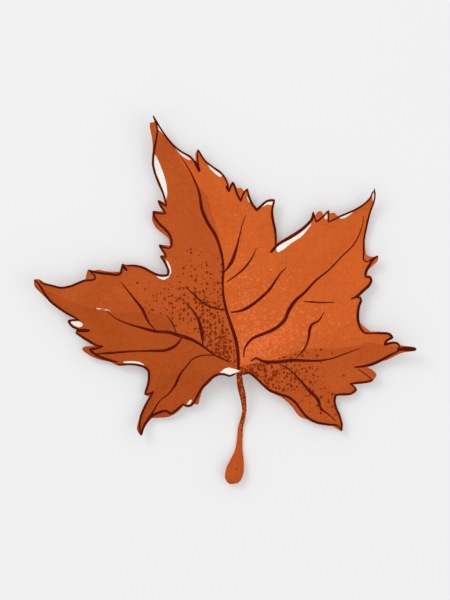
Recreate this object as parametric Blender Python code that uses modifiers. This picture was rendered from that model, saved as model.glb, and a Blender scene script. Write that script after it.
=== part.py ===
"""Maple leaf: a thin lobed blade, the ribs under it and its stalk, grown as one piece.

Plan positions are in millimetres from the point where the stalk meets the blade, x to the right and
y towards the middle lobe's tip side. The leaf is first joined flat on the ground plane and then
lifted into its arched, curling shape by one height function. At the end it is moved so that the
middle of its box stands over the origin with its lowest points on the ground.
"""
import bmesh
import bpy
import numpy as np

MM = 0.001

# blade
BLADE_THICKNESS = 0.4
BLADE_UNDERSIDE = 0.5    # height of the flat blade's underside, the depth that its ribs stand out
SLAB_SIZE = 136.0
SLAB_CENTRE = (-5.0, 32.0)
SLAB_CELLS = 33
MARGIN_STEPS = 3         # straight steps between two margin points

# ribs
RIB_ROOT_RADIUS = 0.75
RIB_TIP_RADIUS = 0.3
RIB_COVER = 0.05         # how far a rib stays below the blade's upper side

# stalk
STALK_FLATTENING = 0.8   # thickness over width
STALK_SEAT = 0.12        # how deep its underside is pressed flat

# arched shape
ARCH_HEIGHT = 6.0        # lift of the stalk's joint above the lobes' touching places
TOUCH_LENGTH = 1.12      # a lobe touches the ground from 1 to this times its touching radius
CURL_POWER = 1.8
LOBE_FOCUS = 12.0        # how sharply one lobe's values give way to the next one's
PILLOW_HEIGHT = 1.1      # rise of the blade between its main ribs
PILLOW_WIDTH = 5.0
RIB_CLEARANCE = 1.0      # half width of the strip along a rib that has no pillow
WAVE_HEIGHT = 0.8

# direction in degrees, touching radius, tip radius and lift of the tip, for each lobe and the stalk
LOBES = np.array([
    (109.0, 56.0, 91.0, 4.5),
    (53.6, 48.0, 76.5, 3.0),
    (6.6, 38.0, 60.0, 3.5),
    (-31.6, 25.0, 40.4, 2.5),
    (-90.0, 24.0, 42.0, 0.0),
    (213.8, 25.0, 40.7, 3.0),
    (156.4, 47.0, 76.4, 5.0),
])

# The margin, counter-clockwise from the middle lobe's tip. Each row is a smooth run that starts at a
# sharp tip or notch and ends at the next row's first point.
MARGIN = [
    [(-29.6, 86.1), (-30.6, 83.6), (-30.5, 80.9), (-29.9, 77.5), (-29.8, 74.5), (-30.1, 71.9),
     (-30.1, 69.7), (-29.6, 67.3), (-28.2, 63.1), (-26.7, 59.8)],
    [(-25.9, 56.7)],
    [(-28.2, 57.5), (-27.4, 55.4)],
    [(-26.4, 53.7)],
    [(-29.6, 53.9), (-30.1, 51.3), (-28.9, 48.3), (-26.2, 46), (-24.5, 44.4)],
    [(-24, 42.1)],
    [(-27.7, 42.4), (-26.7, 40.6)],
    [(-26, 39)],
    [(-27.3, 38.7), (-26.1, 36.6), (-25.1, 33.7), (-25.2, 32.2), (-27.9, 32.5), (-31.3, 34.1),
     (-35.4, 35.6), (-38.8, 35.6)],
    [(-40.2, 36), (-40.6, 34)],
    [(-41.3, 33.2), (-45.2, 33.3), (-48.3, 33.8)],
    [(-50.7, 33.5)],
    [(-51.9, 33.9), (-52.4, 32.3)],
    [(-52.8, 30.5), (-55.1, 29.7), (-57.8, 28.6), (-60.9, 28.1), (-64.3, 28.8)],
    [(-66.8, 29.6), (-67.9, 30.5)],
    [(-70, 30.6), (-69.8, 28.4), (-67.7, 25.9), (-65.1, 23.3), (-61.9, 20.6), (-58.5, 18.4)],
    [(-56, 17.1)],
    [(-58.3, 17), (-58.8, 16.4), (-57.3, 14.5)],
    [(-55.6, 13.4)],
    [(-56.3, 12.5), (-53, 10)],
    [(-49.8, 8)],
    [(-53, 7.8), (-53.8, 7.1), (-51.7, 5), (-48.3, 3.4), (-44.2, 2.4), (-41.8, 1.3), (-37.1, 1.4),
     (-33.3, 0.7), (-31.8, -0.5), (-31.6, -2.7), (-32.1, -6)],
    [(-32.8, -8.3), (-32, -9)],
    [(-31.1, -9.2), (-33.3, -13.4), (-34.6, -17.2), (-35.1, -20.6)],
    [(-33.8, -22.6), (-33, -20.7), (-31.9, -18)],
    [(-30.3, -16.6), (-27.2, -16.5), (-24.5, -16.2), (-21.8, -14.8)],
    [(-19.2, -12.3), (-17.7, -12.9)],
    [(-16, -11.7), (-14.6, -12), (-13.8, -9.7), (-12.6, -6.5), (-10.5, -4.5), (-7.7, -1.8),
     (-5.8, -1.7), (-3.6, -2.4), (-1.7, -1.6)],
    [(0, -1), (1, -1.8), (2.6, -1.5), (4.8, -3.1), (8.2, -6.2), (11.2, -8.2), (14.1, -9.6),
     (17.2, -12.4), (20.4, -16.2), (23.5, -17.3), (25.8, -18.2), (30.6, -19.1)],
    [(34.4, -21.2), (34.9, -19), (34.1, -16), (32.8, -12.8), (32.4, -10.5)],
    [(32.7, -9), (37.1, -8.8), (38.9, -8.1), (39.7, -6.9), (39.2, -6.1)],
    [(38.4, -5.2), (42.2, -4.8), (44.7, -4.2), (45.5, -3.2), (46.2, -1.9), (45.1, -0.4)],
    [(43, 0.8), (46.2, 2.1), (50.3, 3.4), (54.4, 5.5)],
    [(59.2, 6.3), (59.7, 6.9)],
    [(58.5, 7.7), (55.8, 8)],
    [(53.9, 8.4), (53.4, 9.2), (52, 9.5)],
    [(49.6, 9.1), (50.8, 10.1), (51.9, 11), (51, 12), (49.1, 12.6)],
    [(44.2, 12.9), (41.8, 14.8), (40.4, 16.5), (40.1, 19.4), (40.6, 21.8), (41.3, 23.6), (41, 24.5)],
    [(39.8, 24.9), (42.2, 26.9), (44.3, 28.5), (44.8, 30.3), (44.5, 31.6)],
    [(43.1, 32.2), (43.5, 33.7), (45.1, 35.3), (46.7, 37.1)],
    [(46.8, 38.7), (44.7, 38.3), (43, 38.9), (42.5, 41), (42.5, 44.9), (43.4, 49.5), (44.5, 54.1),
     (45.7, 57.6), (45.9, 59.5)],
    [(45.4, 61.5), (44.5, 59.3), (42.8, 57.5), (40.5, 55.6), (36.4, 54.1)],
    [(32.5, 52.7), (31.8, 53.4)],
    [(30.3, 53.1)],
    [(30, 54.2), (29.2, 53.7)],
    [(28.3, 52.5), (27.2, 53.8), (26.2, 53.5)],
    [(25.5, 52.3)],
    [(24.8, 53.7), (24.4, 52), (22.8, 49.8), (20.1, 47.7), (16.7, 45.6)],
    [(12.6, 43), (12.4, 44.9), (12, 47.4), (11.3, 50.8), (11.1, 53.9)],
    [(11.8, 57.7), (10.9, 58), (8.7, 57.5), (6.9, 55.9)],
    [(5.5, 54.6), (4.2, 56.5), (3.1, 59.5)],
    [(2.5, 61.6)],
    [(1.1, 60.7), (0, 61.8)],
    [(-1.4, 61.3), (-1.9, 63.2), (-2.7, 63.9), (-3.2, 63.1)],
    [(-3.6, 62), (-4.6, 64.7), (-6.4, 67.1), (-9.5, 69.3), (-12.2, 71.5), (-13.6, 73.8), (-14.4, 74.8),
     (-15.1, 74)],
    [(-15.2, 70.8), (-16.8, 72.6), (-20.1, 74.3), (-22.6, 76.5), (-26.2, 80.8)],]

# the main ribs, from the stalk outwards
RIBS = {
    "middle": [(-0.4, 0), (-0.8, 4.8), (-1.4, 9.2), (-3.1, 14.8), (-4.7, 19.7), (-5.8, 24.8), (-6, 29.9),
               (-5.8, 34.3), (-7, 41.5), (-8.7, 45.9), (-11.2, 50), (-13, 54.1), (-14, 59.8),
               (-16.5, 66.1), (-18.7, 70), (-20.7, 72.8)],
    "left": [(-0.6, 0.3), (-4.1, 2.7), (-8.8, 4.9), (-12.6, 7.8), (-16.3, 10), (-21.1, 11.6),
             (-24.5, 12.6), (-28.2, 12.8), (-33.7, 14.1), (-38.4, 15.5), (-42.8, 17.5), (-45.6, 19.9)],
    "lower left": [(-9.2, 4.8), (-12.9, 4.8), (-16, 3.7), (-18.4, 1), (-20.4, -1.5), (-22.6, -6),
                   (-24.8, -8.7), (-27.4, -10.7), (-29.9, -14.6), (-31.6, -17)],
    "right": [(-0.2, 0.3), (1, 4.4), (1.5, 7.3), (4.1, 10.5), (7.8, 12.1), (11.6, 13.8), (15, 16.8),
              (16.5, 20.2), (18.4, 23), (22.1, 26.4), (25.2, 29.8), (30.3, 34), (34.5, 38.4),
              (38.8, 42.8), (40.8, 46.8), (41.7, 50), (41.8, 52.2)],
    "right base": [(0, 0.2), (3.6, 2.2), (7.5, 2.8), (12.2, 2.5), (17.7, 3.1), (23.1, 2.9), (27.5, 3),
                   (32, 3.9), (36, 5.4), (40.8, 7.1)],
    "lower right": [(13.3, 2.4), (16.3, 0.2), (20.4, -3.9), (23.8, -7.7), (26.4, -10.4),
                    (27.4, -13.3), (29.9, -15.3), (32.6, -17.7)],
}

# the stalk: x, y and width
STALK = [(-0.1, 1.4, 1.6), (-0.2, -2.4, 1.9), (0.3, -5.1, 1.8), (0.9, -8.2, 1.6), (1.2, -11.2, 1.5),
         (1.2, -13.9, 1.5), (0.7, -17, 1.5), (0.2, -20.1, 1.6), (-0.1, -23.1, 1.8), (-0.3, -25.8, 2.1),
         (-0.6, -27.9, 2.7), (-1, -29.9, 3.9), (-1.5, -32, 5.1), (-1.8, -34, 6), (-2, -36, 6),
         (-2.3, -37.6, 5.1), (-2.5, -38.5, 3.4), (-2.6, -39, 1.2)]

LEAF_COLOUR = (0.617, 0.114, 0.020, 1.0)
LEAF_ROUGHNESS = 0.6


def clear_scene():
    """Remove the objects that the scene starts with."""
    for obj in list(bpy.data.objects):
        bpy.data.objects.remove(obj, do_unlink=True)


def new_collection(name):
    """A collection of its own in the scene."""
    collection = bpy.data.collections.new(name)
    bpy.context.scene.collection.children.link(collection)
    return collection


def leaf_material():
    """Dry orange-brown leaf."""
    material = bpy.data.materials.new("autumn_leaf")
    material.use_nodes = True
    shader = material.node_tree.nodes["Principled BSDF"]
    shader.inputs["Base Color"].default_value = LEAF_COLOUR
    shader.inputs["Roughness"].default_value = LEAF_ROUGHNESS
    return material


def shown_mesh(obj):
    """The object's mesh as the viewport shows it, in world space and with its caps welded."""
    bpy.context.view_layer.update()
    graph = bpy.context.evaluated_depsgraph_get()
    mesh = bpy.data.meshes.new_from_object(obj.evaluated_get(graph))
    mesh.transform(obj.matrix_world)
    work = bmesh.new()
    work.from_mesh(mesh)
    bmesh.ops.remove_doubles(work, verts=work.verts, dist=0.01 * MM)
    work.to_mesh(mesh)
    work.free()
    return mesh


def as_cutter(curve_object, collection):
    """Change a curve object for a mesh object that a Boolean can use."""
    name = curve_object.name
    mesh = shown_mesh(curve_object)
    bpy.data.objects.remove(curve_object)
    cutter = bpy.data.objects.new(name, mesh)
    cutter.hide_render = True
    cutter.display_type = "WIRE"
    collection.objects.link(cutter)
    return cutter


def margin_prism(collection):
    """The leaf's outline as a flat curve, extruded past both sides of the blade."""
    points = [(x, y, number == 0) for run in MARGIN for number, (x, y) in enumerate(run)]
    curve = bpy.data.curves.new("leaf_outline", "CURVE")
    curve.dimensions = "2D"
    curve.fill_mode = "BOTH"
    curve.extrude = BLADE_THICKNESS * MM
    curve.resolution_u = MARGIN_STEPS
    spline = curve.splines.new("BEZIER")
    spline.bezier_points.add(len(points) - 1)
    spline.use_cyclic_u = True
    for knot, (x, y, sharp) in zip(spline.bezier_points, points):
        knot.co = (x * MM, y * MM, 0)
        knot.handle_left_type = knot.handle_right_type = "VECTOR" if sharp else "AUTO"
    prism = bpy.data.objects.new("leaf_outline", curve)
    prism.location.z = (BLADE_UNDERSIDE + BLADE_THICKNESS / 2) * MM
    collection.objects.link(prism)
    return as_cutter(prism, collection)


def tapered_tube(name, points, radii, heights, flattening, collection):
    """A tube along straight steps with a radius and a height of its own at each point."""
    curve = bpy.data.curves.new(name, "CURVE")
    curve.dimensions = "3D"
    curve.bevel_depth = MM
    curve.bevel_resolution = 2
    curve.use_fill_caps = True
    spline = curve.splines.new("POLY")
    spline.points.add(len(points) - 1)
    for knot, (x, y), radius, height in zip(spline.points, points, radii, heights):
        knot.co = (x * MM, y * MM, height / flattening * MM, 1)
        knot.radius = radius
    tube = bpy.data.objects.new(name, curve)
    tube.scale.z = flattening
    collection.objects.link(tube)
    return as_cutter(tube, collection)


def rib_tubes(collection):
    """One tapering rib for each main vein, its top just under the blade's upper side."""
    tubes = []
    for name, points in RIBS.items():
        radii = np.linspace(RIB_ROOT_RADIUS, RIB_TIP_RADIUS, len(points))
        heights = BLADE_UNDERSIDE + BLADE_THICKNESS - RIB_COVER - radii
        tubes.append(tapered_tube("rib " + name, points, radii, heights, 1.0, collection))
    return tubes


def stalk_tube(collection):
    """The stalk and its swollen foot, lying along the ground plane."""
    radii = np.array([width / 2 for _, _, width in STALK])
    heights = STALK_FLATTENING * radii - STALK_SEAT
    points = [(x, y) for x, y, _ in STALK]
    return tapered_tube("stalk", points, radii, heights, STALK_FLATTENING, collection)


def gridded_slab(collection):
    """A flat slab of small cells, so that the blade can bend."""
    bpy.ops.mesh.primitive_grid_add(x_subdivisions=SLAB_CELLS, y_subdivisions=SLAB_CELLS,
                                    size=SLAB_SIZE * MM)
    slab = bpy.context.object
    slab.name = "flat_blade"
    slab.location = (SLAB_CENTRE[0] * MM, SLAB_CENTRE[1] * MM, BLADE_UNDERSIDE * MM)
    for holder in list(slab.users_collection):
        holder.objects.unlink(slab)
    collection.objects.link(slab)
    shell = slab.modifiers.new("thickness", "SOLIDIFY")
    shell.thickness = BLADE_THICKNESS * MM
    shell.offset = 1.0
    return slab


def add_boolean(obj, other, operation):
    """Join or cut the object with another, exactly."""
    step = obj.modifiers.new(operation + " " + other.name, "BOOLEAN")
    step.operation = operation
    step.object = other
    step.solver = "EXACT"


def lobe_values(x, y):
    """Touching radius, tip radius and tip lift at each point: the values of all lobes, weighed by
    exp(focus * (cos(angle between the point and the lobe) - 1))."""
    angle = np.arctan2(y, x)[:, None]
    weight = np.exp(LOBE_FOCUS * (np.cos(angle - np.radians(LOBES[:, 0])) - 1))
    return (weight @ LOBES[:, 1:] / weight.sum(axis=1, keepdims=True)).T


def rib_distance(x, y):
    """Distance in plan from each point to the nearest main rib or the stalk."""
    lines = list(RIBS.values()) + [[(px, py) for px, py, _ in STALK]]
    place = np.stack([x, y], axis=1)[:, None, :]
    nearest = np.full(len(x), np.inf)
    for line in lines:
        start = np.array(line[:-1])
        step = np.diff(np.array(line), axis=0)
        along = ((place - start) * step).sum(axis=2) / (step ** 2).sum(axis=1)
        gap = place - start - np.clip(along, 0, 1)[:, :, None] * step
        nearest = np.minimum(nearest, np.hypot(gap[:, :, 0], gap[:, :, 1]).min(axis=1))
    return nearest


def relief(x, y):
    """Height of the leaf's shape over its flat state, in millimetres.

    Arch: half a cosine wave from the stalk's joint down to nothing at the touching radius.
    Curl: the part of the lobe past its touching strip rises as a power of the way to its tip.
    Pillow: the blade rises away from its ribs, 1 - exp(-(distance / width) squared).
    Wave: a slow ripple that grows towards the tips and with the distance from the ribs.
    """
    touch, tip, lift = lobe_values(x, y)
    radius = np.hypot(x, y)
    way = radius / touch
    arch = ARCH_HEIGHT * (1 + np.cos(np.pi * np.minimum(way, 1))) / 2
    past = np.clip((radius - TOUCH_LENGTH * touch) / (tip - TOUCH_LENGTH * touch), 0, 1.2)
    curl = lift * past ** CURL_POWER
    away = np.maximum(rib_distance(x, y) - RIB_CLEARANCE, 0)
    pillow = 1 - np.exp(-(away / PILLOW_WIDTH) ** 2)
    ripple = 1 + np.sin(0.33 * x + 0.9) * np.cos(0.29 * y - 0.5)
    return arch + curl + pillow * (PILLOW_HEIGHT + WAVE_HEIGHT * ripple * np.clip(way, 0, 1.3))


def shaped_mesh(flat):
    """Press the flat leaf onto the ground plane, lift it into shape and centre it over the origin."""
    mesh = shown_mesh(flat)
    work = bmesh.new()
    work.from_mesh(mesh)
    bmesh.ops.triangulate(work, faces=work.faces)
    work.to_mesh(mesh)
    work.free()
    place = np.empty(3 * len(mesh.vertices), dtype=np.float32)
    mesh.vertices.foreach_get("co", place)
    place = place.reshape(-1, 3).astype(float)
    x, y, z = place.T / MM
    place[:, 2] = (np.maximum(z, 0) + relief(x, y)) * MM
    low, high = place.min(axis=0), place.max(axis=0)
    place -= ((low[0] + high[0]) / 2, (low[1] + high[1]) / 2, low[2])
    mesh.vertices.foreach_set("co", place.ravel())
    mesh.update()
    return mesh


def build_leaf():
    """Join the blade, its ribs and the stalk, and shape them as one leaf."""
    leaf_parts = new_collection("maple_leaf")
    tools = new_collection("leaf_tools")
    flat = gridded_slab(tools)
    add_boolean(flat, margin_prism(tools), "INTERSECT")
    for tube in rib_tubes(tools) + [stalk_tube(tools)]:
        add_boolean(flat, tube, "UNION")
    mesh = shaped_mesh(flat)
    mesh.name = "maple_leaf"
    mesh.materials.clear()
    mesh.materials.append(leaf_material())
    mesh.shade_smooth()
    bpy.data.objects.remove(flat)
    leaf_parts.objects.link(bpy.data.objects.new("maple_leaf", mesh))


clear_scene()
build_leaf()
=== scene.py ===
"""Maple leaf in autumn colours, lying face up: its blade, veins, dried rim, ribs and stalk.

Plan positions are in millimetres from the point where the stalk meets the blade, x to the right and
y towards the middle lobe. The pieces are worked out there and placed in the frame at the end.
"""
from functools import lru_cache
from math import radians

import bpy
import numpy as np
from bpy.props import FloatProperty, FloatVectorProperty, PointerProperty
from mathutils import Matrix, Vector
from mathutils.geometry import delaunay_2d_cdt


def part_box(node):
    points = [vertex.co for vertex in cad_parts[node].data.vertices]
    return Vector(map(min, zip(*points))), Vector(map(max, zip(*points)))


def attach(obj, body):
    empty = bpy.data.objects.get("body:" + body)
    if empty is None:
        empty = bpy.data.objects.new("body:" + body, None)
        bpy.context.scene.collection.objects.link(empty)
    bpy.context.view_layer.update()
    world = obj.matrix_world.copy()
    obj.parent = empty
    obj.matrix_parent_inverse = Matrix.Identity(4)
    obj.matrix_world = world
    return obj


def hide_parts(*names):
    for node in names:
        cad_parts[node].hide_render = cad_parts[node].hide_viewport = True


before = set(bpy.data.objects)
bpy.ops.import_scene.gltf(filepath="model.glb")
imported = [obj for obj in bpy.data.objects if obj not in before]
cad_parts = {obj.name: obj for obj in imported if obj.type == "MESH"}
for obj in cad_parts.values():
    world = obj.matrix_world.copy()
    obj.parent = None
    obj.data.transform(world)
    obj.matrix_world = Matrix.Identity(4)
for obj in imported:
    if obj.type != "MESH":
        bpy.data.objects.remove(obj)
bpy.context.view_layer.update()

bl_info = {
    "name": "Maple leaf",
    "version": (1, 0, 0),
    "blender": (4, 5, 0),
    "location": "3D View > Sidebar > Maple leaf",
    "description": "Grows an autumn maple leaf piece by piece",
    "category": "Add Mesh",
}

MM = 0.001
LEAF_NODE = "maple_leaf"

# The margin, counter-clockwise from the middle lobe's tip. Each list is a smooth run that starts at a
# sharp tip or notch and ends at the next list's first point.
MARGIN = [
    [(-29.6, 86.1), (-29.3, 84.9)], [(-29.3, 83.9)],
    [(-30.7, 83.7), (-30.8, 82.6), (-30.5, 80.9), (-29.9, 77.5), (-29.8, 74.5), (-30.1, 71.9),
     (-30.1, 69.7), (-29.6, 67.3), (-28.2, 63.1), (-26.7, 59.8)], [(-25.9, 56.7)],
    [(-28.2, 57.5), (-27.4, 55.4)], [(-26.4, 53.7)],
    [(-29.6, 53.9), (-30.1, 51.3), (-28.9, 48.3), (-26.2, 46), (-24.5, 44.4)], [(-24, 42.1)],
    [(-27.7, 42.4), (-26.7, 40.6)], [(-26, 39)],
    [(-27.3, 38.7), (-26.1, 36.6), (-25.1, 33.7), (-25.2, 32.2), (-27.9, 32.5), (-31.3, 34.1),
     (-35.4, 35.6), (-38.8, 35.6)], [(-40.2, 36), (-40.6, 34)],
    [(-41.3, 33.2), (-45.2, 33.3), (-48.3, 33.8)], [(-50.7, 33.5)], [(-51.9, 33.9), (-52.4, 32.3)],
    [(-52.8, 30.5), (-55.1, 29.7), (-57.8, 28.6), (-60.9, 28.1), (-64.3, 28.8)],
    [(-66.8, 29.6), (-67.9, 30.5)],
    [(-70, 30.6), (-69.8, 28.4), (-67.7, 25.9), (-65.1, 23.3), (-61.9, 20.6), (-58.5, 18.4)],
    [(-56, 17.1)], [(-58.3, 17), (-58.8, 16.4), (-57.3, 14.5)], [(-55.6, 13.4)],
    [(-56.3, 12.5), (-53, 10)], [(-49.8, 8)],
    [(-53, 7.8), (-53.8, 7.1), (-51.7, 5), (-48.3, 3.4), (-44.2, 2.4), (-41.8, 1.3), (-37.1, 1.4),
     (-33.3, 0.7), (-31.8, -0.5), (-31.6, -2.7), (-32.1, -6)], [(-32.8, -8.3), (-32, -9)],
    [(-31.1, -9.2), (-33.3, -13.4), (-34.6, -17.2), (-35.1, -20.6)],
    [(-33.8, -22.6), (-33, -20.7), (-31.9, -18)],
    [(-30.3, -16.6), (-27.2, -16.5), (-24.5, -16.2), (-21.8, -14.8)], [(-19.2, -12.3), (-17.7, -12.9)],
    [(-16, -11.7), (-14.6, -12), (-13.8, -9.7), (-12.6, -6.5), (-10.5, -4.5), (-7.7, -1.8), (-5.8, -1.7),
     (-3.6, -2.4), (-1.7, -1.6)],
    [(0, -1), (1, -1.8), (2.6, -1.5), (4.8, -3.1), (8.2, -6.2), (11.2, -8.2), (14.1, -9.6),
     (17.2, -12.4), (20.4, -16.2), (23.5, -17.3), (25.8, -18.2), (30.6, -19.1)],
    [(34.4, -21.2), (34.9, -19), (34.1, -16), (32.8, -12.8), (32.4, -10.5)],
    [(32.7, -9), (37.1, -8.8), (38.9, -8.1), (39.7, -6.9), (39.2, -6.1)],
    [(38.4, -5.2), (42.2, -4.8), (44.7, -4.2), (45.5, -3.2), (46.2, -1.9), (45.1, -0.4)],
    [(43, 0.8), (46.2, 2.1), (50.3, 3.4), (54.4, 5.5)], [(59.2, 6.3), (59.7, 6.9)],
    [(58.5, 7.7), (55.8, 8)], [(53.9, 8.4), (53.4, 9.2), (52, 9.5)],
    [(49.6, 9.1), (50.8, 10.1), (51.9, 11), (51, 12), (49.1, 12.6)],
    [(44.2, 12.9), (41.8, 14.8), (40.4, 16.5), (40.1, 19.4), (40.6, 21.8), (41.3, 23.6), (41, 24.5)],
    [(39.8, 24.9), (42.2, 26.9), (44.3, 28.5), (44.8, 30.3), (44.5, 31.6)],
    [(43.1, 32.2), (43.5, 33.7), (45.1, 35.3), (46.7, 37.1)],
    [(46.8, 38.7), (44.7, 38.3), (43, 38.9), (42.5, 41), (42.5, 44.9), (43.4, 49.5), (44.5, 54.1),
     (45.7, 57.6), (45.9, 59.5)], [(45.4, 61.5), (44.5, 59.3), (42.6, 57), (40, 55), (36.4, 53.4)],
    [(33, 52.1), (31.8, 53.2)], [(30.3, 53.1)], [(30, 54.2), (29.2, 53.7)],
    [(28.3, 52.5), (27.2, 53.8), (26.2, 53.5)], [(25.5, 52.3)],
    [(24.8, 53.7), (24.4, 52), (22.8, 49.8), (20.1, 47.7), (16.7, 45.6)],
    [(12.6, 43), (12.4, 44.9), (12, 47.4), (11.3, 50.8), (11.1, 53.9)],
    [(11.8, 57.7), (10.9, 58), (8.7, 57.5), (6.9, 55.9)], [(5.5, 54.6), (4.2, 56.5), (3.1, 59.5)],
    [(2.5, 61.6)], [(1.1, 60.7), (0, 61.8)], [(-1.4, 61.3), (-1.9, 63.2), (-2.7, 63.9), (-3.2, 63.1)],
    [(-3.6, 62), (-4.6, 64.7), (-6.4, 67.1), (-9.5, 69.3), (-12.2, 71.5), (-13.6, 73.8), (-14.4, 74.8),
     (-15.1, 74)], [(-15.2, 70.8), (-16.8, 72.6), (-20.1, 74.3), (-22.6, 76.5), (-26.2, 80.8)],
]

# The main ribs, from the stalk outwards. The arched shape follows them.
RIBS = {
    "middle": [(-0.4, 0), (-0.8, 4.8), (-1.4, 9.2), (-3.1, 14.8), (-4.7, 19.7), (-5.8, 24.8), (-6, 29.9),
        (-5.8, 34.3), (-7, 41.5), (-8.7, 45.9), (-11.2, 50), (-13, 54.1), (-14, 59.8), (-16.5, 66.1),
        (-18.7, 70), (-20.7, 72.8)],
    "left": [(-0.6, 0.3), (-4.1, 2.7), (-8.8, 4.9), (-12.6, 7.8), (-16.3, 10), (-21.1, 11.6),
        (-24.5, 12.6), (-28.2, 12.8), (-33.7, 14.1), (-38.4, 15.5), (-42.8, 17.5), (-45.6, 19.9)],
    "lower left": [(-9.2, 4.8), (-12.9, 4.8), (-16, 3.7), (-18.4, 1), (-20.4, -1.5), (-22.6, -6),
        (-24.8, -8.7), (-27.4, -10.7), (-29.9, -14.6), (-31.6, -17)],
    "right": [(-0.2, 0.3), (1, 4.4), (1.5, 7.3), (4.1, 10.5), (7.8, 12.1), (11.6, 13.8), (15, 16.8),
        (16.5, 20.2), (18.4, 23), (22.1, 26.4), (25.2, 29.8), (30.3, 34), (34.5, 38.4), (38.8, 42.8),
        (40.8, 46.8), (41.7, 50), (41.8, 52.2)],
    "right base": [(0, 0.2), (3.6, 2.2), (7.5, 2.8), (12.2, 2.5), (17.7, 3.1), (23.1, 2.9), (27.5, 3),
        (32, 3.9), (36, 5.4), (40.8, 7.1)],
    "lower right": [(13.3, 2.4), (16.3, 0.2), (20.4, -3.9), (23.8, -7.7), (26.4, -10.4), (27.4, -13.3),
        (29.9, -15.3), (32.6, -17.7)],
}

# The stalk: x, y and width
STALK = [
    (-0.4, 1.4, 1.6), (-0.4, -2.4, 2), (-0.1, -5.1, 2.2), (0.6, -8.2, 2.2), (1.1, -11.2, 1.8),
    (1.3, -13.9, 1.5), (0.8, -17, 1.6), (0, -20.1, 1.7), (-0.2, -23.1, 1.9), (-0.4, -25.8, 2.2),
    (-0.6, -27.9, 2.7), (-0.9, -29.9, 3.9), (-1.3, -32, 5.1), (-1.8, -34, 6), (-2.3, -36, 6),
    (-2.8, -37.5, 5.2), (-3, -38.3, 4), (-3.1, -38.7, 2.8), (-3.1, -39, 1.4),
]

# The dark veins on the upper side: widths at even distances from base to tip, then the line
VEINS = [
    ((1, 1.2, 1, 0.75, 0.8, 1.15, 1.1, 0.55, 0.2), [(-0.7, 0), *RIBS["middle"][1:]]),
    ((0.4, 1.2, 1.1, 0.65, 0.4, 0.3, 0.2), [(-5.4, 33.2), (-3.2, 36.2), (-1.5, 40.8), (-0.3, 45.4),
     (0.6, 49.3), (1.7, 52.4)]),
    ((0.3, 0.5, 0.65, 0.5, 0.2), [(-4.6, 29.8), (-2, 31.6), (1.2, 34.3), (3.7, 37.6), (5.4, 41.1)]),
    ((0.4, 1.1, 1, 1, 0.6, 0.2), [(-3.2, 19.4), (0, 19.9), (3.7, 21.8), (7.1, 24.5), (9.9, 27.2),
     (12.2, 30.6), (13.9, 33), (15.8, 34.9)]),
    ((0.4, 0.6, 0.55, 0.5, 0.2), [(-4.6, 20), (-8.2, 20.7), (-11.6, 21.9), (-14.6, 24.3),
     (-18.7, 28.1)]),
    ((0.4, 1.2, 1.1, 0.7, 0.5, 0.2), [(-12.8, 8.5), (-13.1, 12.2), (-13.9, 15.8), (-16, 19.7),
     (-19, 23)]),
    ((0.4, 0.5, 0.9, 1.3, 1.1, 1, 0.65, 0.4, 0.2), RIBS["left"][1:]),
    ((0.2, 0.55, 1, 0.9, 0.65, 0.45, 0.2), [(-28.6, 12.9), (-31.6, 16.5), (-33.2, 20.1), (-36, 23.8),
     (-40.8, 29.8)]),
    ((0.3, 0.45, 0.2), [(-21.9, 12.6), (-23.1, 15.5), (-25.2, 18.5)]),
    ((0.5, 1.1, 0.8, 0.55, 0.65, 0.85, 0.3), [(-20.1, 10.5), (-21.9, 8.2), (-25.2, 6.6), (-30.6, 6.3),
     (-37.4, 6.1), (-43.5, 5.6), (-49.3, 5.3)]),
    ((0.25, 0.45, 0.4, 0.55, 0.9, 0.5, 0.3, 0.5, 0.6), RIBS["lower left"]),
    ((0.3, 1, 1.2, 1.3, 0.9, 0.55, 0.45, 0.4, 0.2), RIBS["right"][1:]),
    ((0.2, 0.55, 0.45, 0.4, 0.25), [(21.4, 23.1), (24.5, 22.9), (28.2, 22.7), (32, 22.8)]),
    ((0.2, 0.55, 0.75, 1, 0.6, 0.2), [(19, 3.9), (21.8, 7.1), (23.2, 10.9), (23.6, 13.8), (24.1, 15),
     (26.5, 16.5), (28.6, 19.6)]),
    ((0.5, 1.1, 1.15, 1, 0.75, 0.45, 0.4, 0.2), [(3.6, 2.9), (5.1, 3.8), *RIBS["right base"][2:]]),
    ((0.3, 0.4, 0.65, 1.1, 1.1, 0.5, 0.2), [(13.3, 1.7), *RIBS["lower right"][1:]]),
]

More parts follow.
